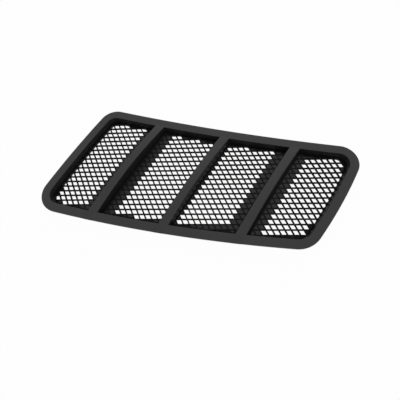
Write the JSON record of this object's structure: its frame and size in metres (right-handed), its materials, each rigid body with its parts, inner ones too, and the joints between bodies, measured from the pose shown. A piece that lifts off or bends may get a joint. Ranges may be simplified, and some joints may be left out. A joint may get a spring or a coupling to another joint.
{
  "type": "bonnet vent panel",
  "caption": "One-piece moulded car bonnet vent panel: a flat rounded frame carrying raised ribs over a sunken diamond mesh, with screw bosses underneath.",
  "frame": {"origin": "centre of the bounding box in plan, on the rim of the locating wall the panel rests on", "axes": "+Z out of the bonnet through the visible face, +X along the panel's long way across the ribs, +Y along the ribs"},
  "size_m": [0.2914, 0.2361, 0.0168],
  "materials": {
    "panel": "satin moulded black"
  },
  "bodies": {
    "root": {"vent_panel": "panel"}
  },
  "joints": []
}
